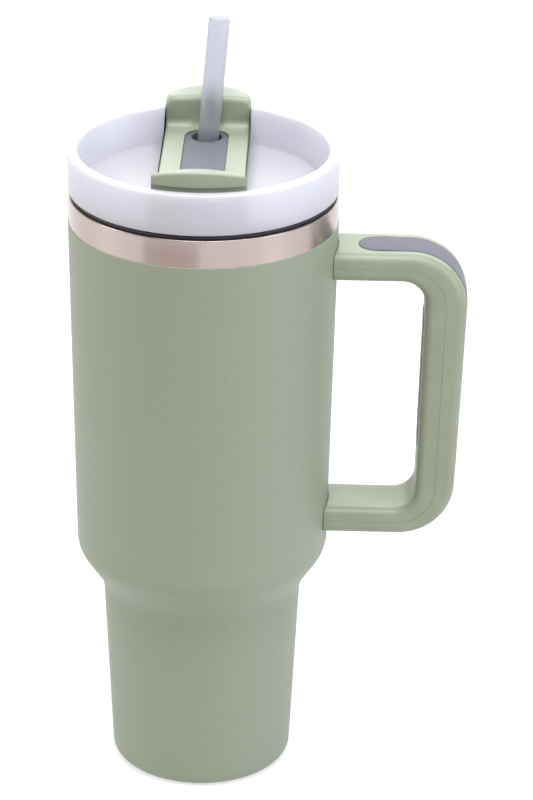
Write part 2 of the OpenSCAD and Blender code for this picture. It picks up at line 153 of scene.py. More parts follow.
def drill(piece, centre, radius, low, high):
    # cuts a round upright hole, with a straight cylinder that is taken away from the piece
    work = bmesh.new()
    place = Matrix.Translation((centre[0] * mm, centre[1] * mm, (low + high) / 2 * mm))
    bmesh.ops.create_cone(work, cap_ends=True, segments=drillSides, radius1=radius * mm,
                          radius2=radius * mm, depth=(high - low) * mm, matrix=place)
    mesh = bpy.data.meshes.new("cutter")
    work.to_mesh(mesh)
    work.free()
    cutter = bpy.data.objects.new("cutter", mesh)
    bpy.context.scene.collection.objects.link(cutter)
    cut = piece.modifiers.new("hole", "BOOLEAN")
    cut.operation = "DIFFERENCE"
    cut.object = cutter
    bpy.context.view_layer.update()
    result = bpy.data.meshes.new_from_object(piece.evaluated_get(bpy.context.evaluated_depsgraph_get()))
    piece.modifiers.clear()
    piece.data = result
    result.set_sharp_from_angle(angle=sharpAngle)
    bpy.data.objects.remove(cutter)


# camera: three-quarter height view, long lens; place in mm, the rest are unit directions
cameraView = {"place": (50.55, -1164.41, 675.30), "right": (0.999534, 0.028116, 0.011564),
              "up": (-0.022127, 0.411981, 0.910924), "back": (0.020848, -0.910758, 0.412413),
              "lens": 153.65, "sensor": 36, "clipEnd": 100}


def makeCamera():
    data = bpy.data.cameras.new("camera")
    data.sensor_width = cameraView["sensor"]
    data.lens = cameraView["lens"]
    data.clip_end = cameraView["clipEnd"]
    camera = bpy.data.objects.new("camera", data)
    turn = Matrix(np.array([cameraView["right"], cameraView["up"], cameraView["back"]]).T.tolist())
    camera.matrix_world = Matrix.Translation(np.array(cameraView["place"]) * mm) @ turn.to_4x4()
    bpy.context.scene.collection.objects.link(camera)
    bpy.context.scene.camera = camera


makeCamera()


# materials
def principled(name):
    material = bpy.data.materials.new(name)
    material.use_nodes = True
    tree = material.node_tree
    return material, tree, tree.nodes["Principled BSDF"]


def objectPoint(tree):
    # the surface point in metres
    return addNode(tree, "ShaderNodeTexCoord").outputs["Object"]


def grainBump(tree, shader, grainMm, heightMm, detail=2.0):
    # a fine, even grain: noise whose cells are grainMm across, raised by heightMm
    noise = addNode(tree, "ShaderNodeTexNoise",
                    {"Scale": 1 / (grainMm * mm), "Detail": detail, "Roughness": 0.55},
                    {"Vector": objectPoint(tree)})
    bump = addNode(tree, "ShaderNodeBump", {"Strength": 1.0, "Distance": heightMm * mm},
                   {"Height": noise.outputs["Fac"]})
    tree.links.new(bump.outputs[0], shader.inputs["Normal"])
    return noise


def tintBy(tree, factor, dark, light):
    # a colour that runs from dark to light over the middle of a noise's range
    span = addNode(tree, "ShaderNodeMapRange", {"From Min": 0.35, "From Max": 0.65}, {"Value": factor})
    mix = addNode(tree, "ShaderNodeMix", {"data_type": "RGBA"}, {"Factor": span.outputs[0]})
    colours = [i for i in mix.inputs if i.type == "RGBA"]
    colours[0].default_value = toLinear(dark)
    colours[1].default_value = toLinear(light)
    return [o for o in mix.outputs if o.type == "RGBA"][0]


powderCoat = {"dark": "#87907c", "light": "#8b9481", "grain": 0.3, "height": 0.008, "patch": 0.6,
              "smooth": 0.44, "rough": 0.56}


def makePowderCoat():
    # powder coat, sprayed and baked: a satin film whose melted grains leave a fine orange peel
    material, tree, shader = principled("sage powder coat on steel")
    noise = grainBump(tree, shader, powderCoat["grain"], powderCoat["height"], 3)
    patch = addNode(tree, "ShaderNodeTexNoise", {"Scale": 1 / (powderCoat["patch"] * mm), "Detail": 1.0},
                    {"Vector": objectPoint(tree)})
    tint = tintBy(tree, patch.outputs["Fac"], powderCoat["dark"], powderCoat["light"])
    tree.links.new(tint, shader.inputs["Base Color"])
    rough = addNode(tree, "ShaderNodeMapRange",
                    {"To Min": powderCoat["smooth"], "To Max": powderCoat["rough"]},
                    {"Value": noise.outputs["Fac"]})
    tree.links.new(rough.outputs[0], shader.inputs["Roughness"])
    shader.inputs["IOR"].default_value = 1.5
    return material


brushed = {"meanR": 50, "length": 9, "height": 0.006, "smoother": 0.07, "rougher": 0.09}


def makeBrushedSteel(name, colour, streakMm, roughness, anisotropy):
    # stainless steel, belt-brushed while the cup turns: fine lines run round it and stretch the highlights.
    # The pattern reads angle times mean radius along the lines, and height across them
    material, tree, shader = principled(name)
    parts = addNode(tree, "ShaderNodeSeparateXYZ", {}, {0: objectPoint(tree)})
    angle = addNode(tree, "ShaderNodeMath", {"operation": "ARCTAN2"},
                    {0: parts.outputs[1], 1: parts.outputs[0]})
    around = addNode(tree, "ShaderNodeMath", {"operation": "MULTIPLY", 1: brushed["meanR"] * mm},
                     {0: angle.outputs[0]})
    flat = addNode(tree, "ShaderNodeCombineXYZ", {}, {0: around.outputs[0], 2: parts.outputs[2]})
    scale = (1 / (brushed["length"] * mm), 1, 1 / (streakMm * mm))
    stretched = addNode(tree, "ShaderNodeMapping", {"Scale": scale}, {0: flat.outputs[0]})
    lines = addNode(tree, "ShaderNodeTexNoise", {"Scale": 1.0, "Detail": 4.0, "Roughness": 0.6},
                    {0: stretched.outputs[0]})
    rough = addNode(tree, "ShaderNodeMapRange",
                    {"From Min": 0.3, "From Max": 0.7, "To Min": roughness - brushed["smoother"],
                     "To Max": roughness + brushed["rougher"]}, {"Value": lines.outputs["Fac"]})
    tree.links.new(rough.outputs[0], shader.inputs["Roughness"])
    bump = addNode(tree, "ShaderNodeBump", {"Distance": brushed["height"] * mm},
                   {"Height": lines.outputs["Fac"]})
    tree.links.new(bump.outputs[0], shader.inputs["Normal"])
    tangent = addNode(tree, "ShaderNodeTangent", {"direction_type": "RADIAL", "axis": "Z"})
    tree.links.new(tangent.outputs[0], shader.inputs["Tangent"])
    shader.inputs["Base Color"].default_value = toLinear(colour)
    shader.inputs["Metallic"].default_value = 1.0
    shader.inputs["Anisotropic"].default_value = anisotropy
    shader.inputs["Anisotropic Rotation"].default_value = 0.25
    return material


def makeMouldedPlastic(name, dark, light, roughness, grainMm=0.35, heightMm=0.006):
    # injection-moulded plastic: the spark-eroded mould leaves a very fine, even matt grain,
    # and the colour drifts a little over each 14 mm
    material, tree, shader = principled(name)
    grainBump(tree, shader, grainMm, heightMm)
    cloud = addNode(tree, "ShaderNodeTexNoise", {"Scale": 1 / (14 * mm), "Detail": 1.0},
                    {"Vector": objectPoint(tree)})
    tree.links.new(tintBy(tree, cloud.outputs["Fac"], dark, light), shader.inputs["Base Color"])
    shader.inputs["Roughness"].default_value = roughness
    shader.inputs["IOR"].default_value = 1.49
    return material


def makeMilkyPlastic(name, colour, roughness, transmission, scatter, scaleMm):
    # milky polypropylene: light goes in, scatters and comes out again, so it glows where the wall is thin
    material, tree, shader = principled(name)
    grainBump(tree, shader, 0.5, 0.004)
    shader.inputs["Base Color"].default_value = toLinear(colour)
    shader.inputs["Roughness"].default_value = roughness
    shader.inputs["IOR"].default_value = 1.49
    shader.inputs["Subsurface Weight"].default_value = scatter
    shader.inputs["Subsurface Radius"].default_value = (1.0, 1.0, 1.1)
    shader.inputs["Subsurface Scale"].default_value = scaleMm * mm
    shader.inputs["Transmission Weight"].default_value = transmission
    return material


softTouch = {"cell": 0.8, "grain": 0.5, "height": 0.02}


def makeSoftTouch(name, dark, light, roughness):
    # soft-touch thermoplastic rubber over-moulded on plastic: matt, with a fine leathery grain
    material, tree, shader = principled(name)
    cells = addNode(tree, "ShaderNodeTexVoronoi", {"Scale": 1 / (softTouch["cell"] * mm)},
                    {"Vector": objectPoint(tree)})
    noise = addNode(tree, "ShaderNodeTexNoise", {"Scale": 1 / (softTouch["grain"] * mm), "Detail": 2.0},
                    {"Vector": objectPoint(tree)})
    height = addNode(tree, "ShaderNodeMath", {"operation": "ADD"},
                     {0: cells.outputs["Distance"], 1: noise.outputs["Fac"]})
    bump = addNode(tree, "ShaderNodeBump", {"Distance": softTouch["height"] * mm},
                   {"Height": height.outputs[0]})
    tree.links.new(bump.outputs[0], shader.inputs["Normal"])
    tree.links.new(tintBy(tree, noise.outputs["Fac"], dark, light), shader.inputs["Base Color"])
    shader.inputs["Roughness"].default_value = roughness
    shader.inputs["IOR"].default_value = 1.5
    shader.inputs["Sheen Weight"].default_value = 0.15
    return material


coatMaterial = makePowderCoat()
bandMaterial = makeBrushedSteel("brushed stainless steel", "#b8aba4", 0.10, 0.22, 0.8)
drawnMaterial = makeBrushedSteel("drawn stainless steel", "#c2bebb", 0.35, 0.36, 0.4)
handleMaterial = makeMouldedPlastic("sage moulded handle plastic", "#89917a", "#8e967f", 0.42)
coverMaterial = makeMouldedPlastic("pale sage moulded cover plastic", "#8f9883", "#949c88", 0.38)
gripMaterial = makeSoftTouch("grey soft touch grip", "#575861", "#61626b", 0.65)
insertMaterial = makeSoftTouch("grey moulded insert", "#565b60", "#5f6468", 0.55)
lidMaterial = makeMilkyPlastic("milky lid polypropylene", "#d9d9e1", 0.36, 0.3, 0.8, 12)
strawMaterial = makeMilkyPlastic("milky straw polypropylene", "#e6e8ef", 0.3, 0.88, 0.35, 1)
darkSilicone = makeSoftTouch("charcoal silicone", "#1c1d21", "#232428", 0.6)
whiteSilicone = makeSoftTouch("white silicone", "#cfcfcd", "#d6d6d4", 0.5)
glassMaterial = makeMouldedPlastic("dull sealing glass", "#3a3835", "#4a4743", 0.5, 0.2, 0.02)
print("materials made")

# cup: the same tapers, shoulder and foot as the frame
cup = {"rimZ": 231.0, "rimR": 49.56, "upperTaper": 1.02, "shoulderZ": 93.6, "shoulderR": 12.3,
       "slope": 33.9, "creaseR": 18.5, "baseR": 33.8, "lowerTaper": 2.7, "footR": 4.0, "steel": 0.5,
       "coat": 0.25, "bandZ": 220.7, "wall": 4.1, "floorZ": 8.0, "plateR": 28.6, "lip": 0.22, "roll": 0.8,
       "upperRows": 24, "bendRows": 20, "lowerRows": 12, "footRows": 12}


def upperAt(z):
    return cup["rimR"] - (cup["rimZ"] - z) * np.tan(rad(cup["upperTaper"]))


def lowerAt(z):
    return cup["baseR"] + z * np.tan(rad(cup["lowerTaper"]))


def cupWall(inset, footZ, footR):
    # the cup's outline from rim to foot moved inwards: a taper, an outward arc, a slope, an inward arc,
    # a second taper and the foot's arc; the slope meets the lower taper at a corner that the inward arc rounds
    slope, lower = rad(cup["slope"]), rad(cup["lowerTaper"])
    shoulder = np.array([upperAt(cup["shoulderZ"]) - cup["shoulderR"], cup["shoulderZ"]])
    top = shoulder + cup["shoulderR"] * np.array([np.cos(slope), -np.sin(slope)])
    run = (top[0] - lowerAt(top[1])) / (np.sin(slope) - np.cos(slope) * np.tan(lower))
    corner = top - run * np.array([np.sin(slope), np.cos(slope)])
    reach = cup["creaseR"] * np.tan((slope - lower) / 2)
    foot = corner - reach * np.array([np.sin(lower), np.cos(lower)])
    crease = foot + cup["creaseR"] * np.array([np.cos(lower), -np.sin(lower)])
    footC = (lowerAt(footZ + footR) - (inset + footR) / np.cos(lower), footZ + footR)
    taperEnd = cup["shoulderZ"] + 2
    upper = np.stack([np.linspace(cup["rimR"], upperAt(taperEnd), cup["upperRows"]) - inset,
                      np.linspace(cup["rimZ"], taperEnd, cup["upperRows"])], 1)
    ends = arc(shoulder, cup["shoulderR"] - inset, -cup["upperTaper"], -cup["slope"], cup["bendRows"])
    turn = arc(crease, cup["creaseR"] + inset, 180 - cup["slope"], 180 - cup["lowerTaper"], cup["bendRows"])
    sole = arc(footC, footR, -cup["lowerTaper"], -90, cup["footRows"])
    t = np.linspace(0, 1, cup["lowerRows"] + 2)[1:-1, None]
    return np.concatenate([upper, ends, turn, turn[-1] * (1 - t) + sole[0] * t, sole])


def clipAbove(path, z):
    # keeps the part of a falling outline below z, and starts it exactly there
    first = np.argmax(path[:, 1] < z)
    share = (path[first - 1, 1] - z) / (path[first - 1, 1] - path[first, 1])
    start = path[first - 1] + share * (path[first] - path[first - 1])
    return np.concatenate([start[None], path[first:]])


def clipBelow(path, z):
    return clipAbove(path[::-1] * [1, -1], -z)[::-1] * [1, -1]


def makeOuterShell():
    steel, lip = cup["steel"], cup["lip"]
    outer = cupWall(0, 0, cup["footR"])
    inner = cupWall(steel, steel, cup["footR"] - steel)
    rim = arc((outer[0, 0] - lip, cup["rimZ"] - lip), lip, 90, 0, 4)
    shell = np.concatenate([rim, clipAbove(outer, cup["rimZ"] - lip - 0.05),
                            [[cup["plateR"], 0], [cup["plateR"], steel]], inner[::-1]])
    gridPiece("outerShell", revolve(shell), bandMaterial, "cup", "outer_shell")


def makePowderSkin():
    coat = cup["coat"]
    skin = clipAbove(cupWall(-coat, 0, cup["footR"] + coat), cup["bandZ"] - coat)
    skin = clipBelow(skin, 2 * coat)
    back = clipBelow(clipAbove(cupWall(0, 0, cup["footR"]), cup["bandZ"]), 2 * coat)
    edge = arc((skin[0, 0] - coat, skin[0, 1]), coat, 90, 0, 4)[:-1]
    outline = np.concatenate([edge, skin, back[::-1][:-1]])
    gridPiece("powderCoat", revolve(outline, 256), coatMaterial, "cup", "powder_coat")


def makeLiner():
    steel, roll, rimZ = cup["steel"], cup["roll"], cup["rimZ"]
    face = cupWall(cup["wall"], cup["floorZ"], 2 * cup["footR"] - steel)
    rear = cupWall(cup["wall"] - steel, cup["floorZ"] - steel, 2 * cup["footR"])
    mouth = arc((face[0, 0] + roll, rimZ - roll), roll, 180, 90, 6)
    edge = cup["rimR"] - steel
    liner = np.concatenate([[[0, cup["floorZ"]]], face[::-1][:-1], mouth, [[edge, rimZ], [edge, rimZ - steel]],
                            clipAbove(rear, rimZ - steel), [[0, cup["floorZ"] - steel]]])
    gridPiece("innerLiner", revolve(liner), drawnMaterial, "cup", "inner_liner", wrapRows=False)


makeOuterShell()
makePowderSkin()
makeLiner()
print("cup made")

# lid: raised wall round a sunk deck, and a plug that goes into the cup
lid = {"r": 49.5, "z": 232.7, "topZ": 248.1, "deckZ": 235.0, "deckT": 2.0, "wellR": 43.5, "mouthR": 45.75,
       "edge": 1.0, "chamfer": 0.8, "wellFillet": 1.0, "plugR": 42.6, "plugT": 2.6, "plugZ": 220.0,
       "beadR": 43.6, "beadTop": 223.7, "drinkY": 24.0, "drinkW": 26.0, "drinkL": 20.0, "drinkR": 6.0,
       "drinkEdge": 0.5, "hubR": 9.0, "hubZ": 232.2, "boreR": 4.6, "columns": 240}
gap = 0.3  # running room round the seal


def roundRect(direction, halfWidth, halfLength, corner):
    # distance from the centre of a round-cornered rectangle to its edge along each unit direction:
    # the nearer of the two straight sides, or the corner's circle where the ray passes beyond both of them
    x, y = np.abs(direction[:, 0]), np.abs(direction[:, 1])
    straight = np.minimum(halfWidth / np.maximum(x, 1e-9), halfLength / np.maximum(y, 1e-9))
    cx, cy = halfWidth - corner, halfLength - corner
    along = x * cx + y * cy
    reach = along + np.sqrt(np.maximum(along ** 2 - (cx * cx + cy * cy) + corner * corner, 0))
    inCorner = (straight * x > cx) & (straight * y > cy)
    return np.where(inCorner, reach, straight)


def deckRows(radius, z, shares, inset):
    # level rows at shares of the way from the drinking hole's outline, widened by inset, to a circle
    angle = np.linspace(0, tau, lid["columns"], endpoint=False)
    edge = np.stack([np.cos(angle), np.sin(angle)], 1) * radius
    centre = np.array([0, lid["drinkY"]])
    ray = edge - centre
    ray /= np.linalg.norm(ray, axis=1)[:, None]
    reach = roundRect(ray, lid["drinkW"] / 2 + inset, lid["drinkL"] / 2 + inset, lid["drinkR"] + inset)
    hole = centre + ray * reach[:, None]
    height = np.full((lid["columns"], 1), z)
    return np.array([np.concatenate([hole * (1 - s) + edge * s, height], 1) for s in shares])


def lidOutline():
    # from the deck's edge up the well, over the wall, down the outside, and along the plug
    # to the deck's underside
    e, f = lid["edge"], lid["wellFillet"]
    wallIn = arc((lid["mouthR"] + e, lid["topZ"] - e), e, 180, 90, 6)
    wallOut = arc((lid["r"] - e, lid["topZ"] - e), e, 90, 0, 6)
    well = arc((lid["wellR"] - f, lid["deckZ"] + f), f, -90, -8, 6)
    lift = np.linspace(0, 1, 8)[1:-1, None]
    side = well[-1] * (1 - lift) + wallIn[0] * lift
    down = np.array([[lid["r"], lid["topZ"] - e - 0.4], [lid["r"], lid["z"] + lid["chamfer"] + 0.4]])
    plugIn = lid["plugR"] - lid["plugT"]
    skirt = roundedLoop([(lid["r"], lid["z"] + 3), (lid["r"], lid["z"]), (lid["plugR"], lid["z"]),
                         (lid["plugR"], lid["beadTop"]), (lid["beadR"], lid["beadTop"] - 0.3),
                         (lid["beadR"], lid["plugZ"] + 0.6), (lid["plugR"] - 0.5, lid["plugZ"]),
                         (plugIn, lid["plugZ"]), (plugIn, lid["deckZ"] - lid["deckT"])],
                        [0, lid["chamfer"], 0.2, 0.2, 0.3, 0.4, 0.3, 0.6, 0.3])
    return np.concatenate([well, side, wallIn, wallOut, down, skirt[1:]])


def makeLid():
    # the outline is turned about the axis; where it crosses the deck it runs in to the drinking hole's
    # rounded rim, along straight lines between the deck's circle and the hole's outline
    rim, deckZ, underZ = lid["drinkEdge"], lid["deckZ"], lid["deckZ"] - lid["deckT"]
    outR, inR = lid["wellR"] - lid["wellFillet"], lid["plugR"] - lid["plugT"]
    turns = rad([0, 22, 45, 67, 90])
    shares = [0.0, 0.02, 0.2, 0.5, 0.8, 0.98]
    lip = [deckRows(outR, deckZ - rim + rim * np.sin(t), [0.0], rim - rim * np.cos(t))[0] for t in turns[:-1]]
    under = [deckRows(outR, underZ + rim - rim * np.sin(t), [0.0], rim - rim * np.cos(t))[0]
             for t in turns[::-1][1:]]
    grid = np.concatenate([np.array(lip), deckRows(outR, deckZ, shares, rim),
                           revolve(lidOutline(), lid["columns"]), deckRows(inR, underZ, shares[::-1], rim),
                           np.array(under)])
    body = gridPiece("lidBody", grid, lidMaterial, "lid", "lid_body")
    drill(body, (0, 0), lid["boreR"], lid["hubZ"] - 1, deckZ + 1)
    hub = roundedLoop([(lid["boreR"], lid["hubZ"]), (lid["hubR"], lid["hubZ"]), (lid["hubR"], underZ),
                       (lid["boreR"], underZ)], [0, 0.3, 0, 0])
    joinInto(body, revolve(hub, 96))


lidSeal = {"sleeve": 1.2, "lipR": 45.0, "lipAt": (0.3, 3.2), "lipRise": 0.6, "lipT": 0.4, "lipRoot": 1.5}


def makeLidSeal():
    # a sleeve on the plug with two lips that rise outwards, under a flange between the lid and the rim
    inR, flangeR = lid["plugR"] + gap, lid["r"] - lid["chamfer"]
    low, flangeLow, flangeTop = lid["beadTop"] + gap, cup["rimZ"] + gap, lid["z"] - gap
    sleeve, lipR = inR + lidSeal["sleeve"], lidSeal["lipR"]
    outline = [(inR, low)]
    for z in (low + lidSeal["lipAt"][0], low + lidSeal["lipAt"][1]):
        tip = z + lidSeal["lipRise"]
        outline += [(sleeve, z), (lipR, tip), (lipR, tip + lidSeal["lipT"]), (sleeve, z + lidSeal["lipRoot"])]
    outline[1] = (sleeve, low)
    outline += [(sleeve, flangeLow), (flangeR, flangeLow), (flangeR, flangeTop), (inR, flangeTop)]
    radii = [0.2, 0, 0.2, 0.2, 0.3, 0.3, 0.2, 0.2, 0.3, 0.4, 0.4, 0.4, 0.2]
    loop = revolve(roundedLoop(outline, radii))
    gridPiece("lidGasket", loop, darkSilicone, "seal", "lid_gasket")


makeLid()
makeLidSeal()
print("lid made")

# turning cover: two rails between a front tab and a back grip, with a grey insert between them
cover = {"w": 15.9, "low": 235.3, "top": 243.5, "edge": 0.9, "coverGap": 0.8,
         "tabW": 16.8, "tabEdge": 0.8, "tabY": 39.6, "tabR": 44.5, "tabZ": 254.7, "tabDrop": 2.4, "tabLap": 0.8,
         "lipZ": 248.8, "lipStep": 0.6, "backY": 35.0, "backR": 46.0, "backZ": 256.3, "backDrop": 2.6,
         "backCorner": 3.0, "backFront": 254.9, "backEdge": 2.2, "backFillet": 3.0, "overLid": 1.2,
         "holeY": 25.8, "holeR": 5.7, "grooveR": 8.2, "grooveY": 29.5,
         "insertY": 24.4, "insertW": 8.2, "insertEnd": 38.8, "insertTop": 242.8, "insertT": 2.5,
         "insertRoom": 0.06,
         "sealT": 1.9, "sealInset": 1.5, "sealRoom": 0.15, "plateEdge": 0.25, "plateColumns": 160}


def crownDrop(x, halfWidth, drop):
    # a circular arch: how far it has fallen at x, being zero in the middle and drop at halfWidth
    radius = (halfWidth ** 2 + drop ** 2) / (2 * drop)
    return radius - np.sqrt(radius ** 2 - x ** 2)


def coneR(z):
    # the lid's well widens upwards, and the cover keeps its gap from it
    slope = (lid["mouthR"] - lid["wellR"]) / (lid["topZ"] - lid["deckZ"])
    return lid["wellR"] - cover["coverGap"] + slope * (z - lid["deckZ"])


def sideTurn(x, halfWidth, edge):
    # how far the outline shrinks near the side: a quarter circle of radius edge
    near = np.clip((abs(x) - halfWidth + edge) / edge, 0, 1)
    return edge * (1 - np.sqrt(1 - near ** 2))


def tabSlice(x):
    # the front tab's outline in the YZ plane at one x: its front follows a circle about the lid's axis,
    # its top is an arch, and it shrinks inwards near its two ends so that they are round
    shrink = sideTurn(x, cover["tabW"], cover["tabEdge"])
    onCircle = lambda r: -(np.sqrt(r * r - x * x) - shrink)
    top = cover["tabZ"] - crownDrop(abs(x), cover["tabW"], cover["tabDrop"]) - shrink
    low, back, faceR = cover["low"] + shrink, -cover["tabY"] - shrink, cover["tabR"] - cover["lipStep"]
    kinkZ = lid["deckZ"] + (faceR - coneR(lid["deckZ"])) / (coneR(1.0) - coneR(0.0))
    return roundedLoop([(onCircle(coneR(low)), low), (onCircle(faceR), kinkZ), (onCircle(faceR), cover["lipZ"]),
                        (onCircle(cover["tabR"]), cover["lipZ"] + 0.02), (onCircle(cover["tabR"]), top),
                        (back, top), (back, low)], [0.4, 0, 0.12, 0.25, 0.8, 0.8, 0.4])


def barSlice(x):
    # the outline of the rails and the back grip in the YZ plane at one x. The grip's back follows circles
    # about the lid's axis and its top an arch, the scoop behind the straw is part of an upright cylinder,
    # and all of it shrinks near the sides
    shrink = sideTurn(x, cover["w"], cover["edge"])
    corner = sideTurn(x, cover["w"], cover["backCorner"])
    onCircle = lambda r: np.sqrt(r * r - x * x) - shrink
    chord = lambda r, y: y + np.sqrt(max(r * r - x * x, 0))
    low, top = cover["low"] + shrink, cover["top"] - shrink
    backTop = cover["backZ"] - crownDrop(abs(x), cover["w"], cover["backDrop"]) - corner
    # the slot for the insert, with a small step in its place beside it
    inSlot = abs(x) < cover["insertW"]
    floorZ = cover["insertTop"] - cover["insertT"] if inSlot else top
    slotEnd = chord(cover["insertW"], cover["insertY"]) if inSlot else cover["insertY"]
    step = 0.0 if inSlot else 0.3
    face = cover["backY"] + shrink
    scoop = max(chord(cover["grooveR"], cover["grooveY"]) - face, 0)
    fillet = cover["backFillet"] * (1 - 0.375 * min(scoop, 2))
    # the recess for the seal below, with a small step in its place beside it
    front = -cover["tabY"] - cover["tabLap"] - shrink
    overSeal = abs(x) < cover["w"] - cover["sealInset"] + cover["sealRoom"]
    sealEnd = np.sqrt((coneR(lid["deckZ"]) - cover["sealInset"] + cover["sealRoom"]) ** 2 - x * x)
    roof = cover["low"] + cover["sealT"] + 0.05 if overSeal else low
    lift = 0.0 if overSeal else 0.3
    sealStart = max(lift - sealEnd, front + 1)
    crown = lid["topZ"] + cover["overLid"]
    points = np.array([(front, low, 0), (front, top, 0), (-cover["insertEnd"], top, 0.15),
                       (step - cover["insertEnd"], floorZ, 0), (slotEnd - step, floorZ, 0),
                       (slotEnd, top, 0.25), (max(face + scoop - 0.2, slotEnd + 0.5), top, fillet),
                       (face + 0.35 * scoop, cover["backFront"] - corner, cover["backEdge"]),
                       (onCircle(cover["backR"]), backTop, 1.2), (onCircle(cover["backR"]), crown, 0.4),
                       (onCircle(coneR(lid["topZ"])), crown, 0.4), (onCircle(coneR(low)), low, 0.5),
                       (sealEnd, low, 0), (sealEnd - lift, roof, 0), (sealStart, roof, 0),
                       (sealStart - lift, low, 0)])
    return roundedLoop(points[:, :2], points[:, 2], steps=6, hold=0.2)


def sliceGrid(outline, stations):
    # outlines side by side along X, closed at both ends by a fan to their centres
    slices = np.array([np.insert(outline(x), 0, x, axis=1) for x in stations])
    caps = slices[[0, -1]].copy()
    caps[:, :, 1:] = caps[:, :, 1:].mean(1, keepdims=True)
    return np.concatenate([caps[:1], slices, caps[1:]])


def mirrored(half):
    return np.concatenate([-half[::-1], half[half > 0]])


def makeCover():
    # slices stand closer together near the sides and at the edges of the slot and the seal,
    # where the shape turns
    turn = 1 - np.cos(rad(np.linspace(90, 0, 8)))
    edge = cover["w"] - cover["edge"] * turn
    seal = cover["w"] - cover["sealInset"] + cover["sealRoom"]
    rail = np.concatenate([np.linspace(cover["insertW"] + 0.01, seal - 0.005, 10),
                           [seal + 0.005, edge[0] - 0.15]])
    slot = cover["insertW"] * np.sin(rad(np.linspace(0, 89.6, 22)))
    grid = sliceGrid(barSlice, mirrored(np.concatenate([slot, rail, edge])))
    bar = gridPiece("coverBar", grid, coverMaterial, "cover", "cover_bar", wrapRows=False)
    drill(bar, (0, cover["holeY"]), cover["holeR"] + gap, cover["low"] - 1, cover["top"])
    across = np.concatenate([np.linspace(0, cover["tabW"] - 1, 18), cover["tabW"] - cover["tabEdge"] * turn])
    joinInto(bar, sliceGrid(tabSlice, mirrored(across)), wrapRows=False)


def plateWithHole(name, outline, holeR, low, top, material, replaced):
    # a flat plate: rays leave the straw hole's centre, and each row of the grid is a share of the way
    # from the hole to the outline
    angle = np.linspace(0, tau, cover["plateColumns"], endpoint=False)
    ray = np.stack([np.cos(angle), np.sin(angle)], 1)
    outer, centre, edge = outline(ray), np.array([0, cover["holeY"]]), cover["plateEdge"]
    rows = []
    for share, z, inset in ((0, low + edge, 0), (0, top - edge, 0), (0, top - edge * 0.3, edge * 0.3),
                            (0, top, edge), (0.04, top, edge), (0.5, top, 0), (0.96, top, -edge),
                            (1, top, -edge), (1, top - edge * 0.3, -edge * 0.3), (1, top - edge, 0),
                            (1, low + edge, 0), (1, low, -edge), (0.5, low, 0), (0, low, edge)):
        reach = holeR * (1 - share) + outer * share + inset
        rows.append(np.concatenate([centre + ray * reach[:, None], np.full((len(ray), 1), z)], 1))
    return gridPiece(name, np.array(rows), material, "cover", replaced)


def insertOutline(ray):
    # distance from the straw hole to the insert's edge: straight sides, a straight front end,
    # and a half circle behind whose centre lies a little in front of the hole's
    w, shift = cover["insertW"] - cover["insertRoom"], cover["holeY"] - cover["insertY"]
    front = cover["holeY"] + cover["insertEnd"] - cover["insertRoom"]
    x, y = np.abs(ray[:, 0]), ray[:, 1]
    straight = np.minimum(w / np.maximum(x, 1e-9), front / np.maximum(-y, 1e-9))
    toCircle = -shift * y + np.sqrt(np.maximum((shift * y) ** 2 - shift ** 2 + w ** 2, 0))
    return np.where(straight * y > -shift, np.minimum(toCircle, straight), straight)


def sealOutline(ray):
    # distance from the straw hole to the pad's edge: two straight sides and the circle it is trimmed to
    r = lid["wellR"] - cover["coverGap"] - cover["sealInset"]
    w, c = cover["w"] - cover["sealInset"], cover["holeY"]
    x, y = np.abs(ray[:, 0]), ray[:, 1]
    toCircle = -c * y + np.sqrt(c * c * y * y - c * c + r * r)
    return np.minimum(w / np.maximum(x, 1e-9), toCircle)


makeCover()
plateWithHole("coverInsert", insertOutline, cover["holeR"], cover["insertTop"] - cover["insertT"] + 0.02,
              cover["insertTop"], insertMaterial, "cover_insert")
padSeal = plateWithHole("coverSeal", sealOutline, cover["holeR"] + 0.5, cover["low"],
                        cover["low"] + cover["sealT"], whiteSilicone, "cover_seal")
drill(padSeal, (0, 0), lid["boreR"], cover["low"] - 1, cover["low"] + 3)
print("cover made")

# straw: a straight tube that leans towards the handle and the back
straw = {"at": (0.6, 24.9, 243.5), "leanX": 4.85, "leanY": 3.5, "r": 3.95, "wall": 0.7, "length": 279.2,
         "below": 234.2, "lip": 0.3}


def makeStraw():
    # the tube's own outline is turned about Z, then carried to the leaning axis
    axis = np.array([np.tan(rad(straw["leanX"])), np.tan(rad(straw["leanY"])), 1.0])
    axis /= np.linalg.norm(axis)
    across = np.cross([0, 1, 0], axis)
    across /= np.linalg.norm(across)
    turn = np.stack([across, np.cross(axis, across), axis])
    r, inR, length = straw["r"], straw["r"] - straw["wall"], straw["length"]
    outline = roundedLoop([(inR, 0), (r, 0), (r, length), (inR, length)], [straw["lip"]] * 4, 4)
    grid = revolve(outline, 64) - [0, 0, straw["below"]]
    gridPiece("straw", grid @ turn + straw["at"], strawMaterial, "straw", "straw")


makeStraw()
print("straw made")

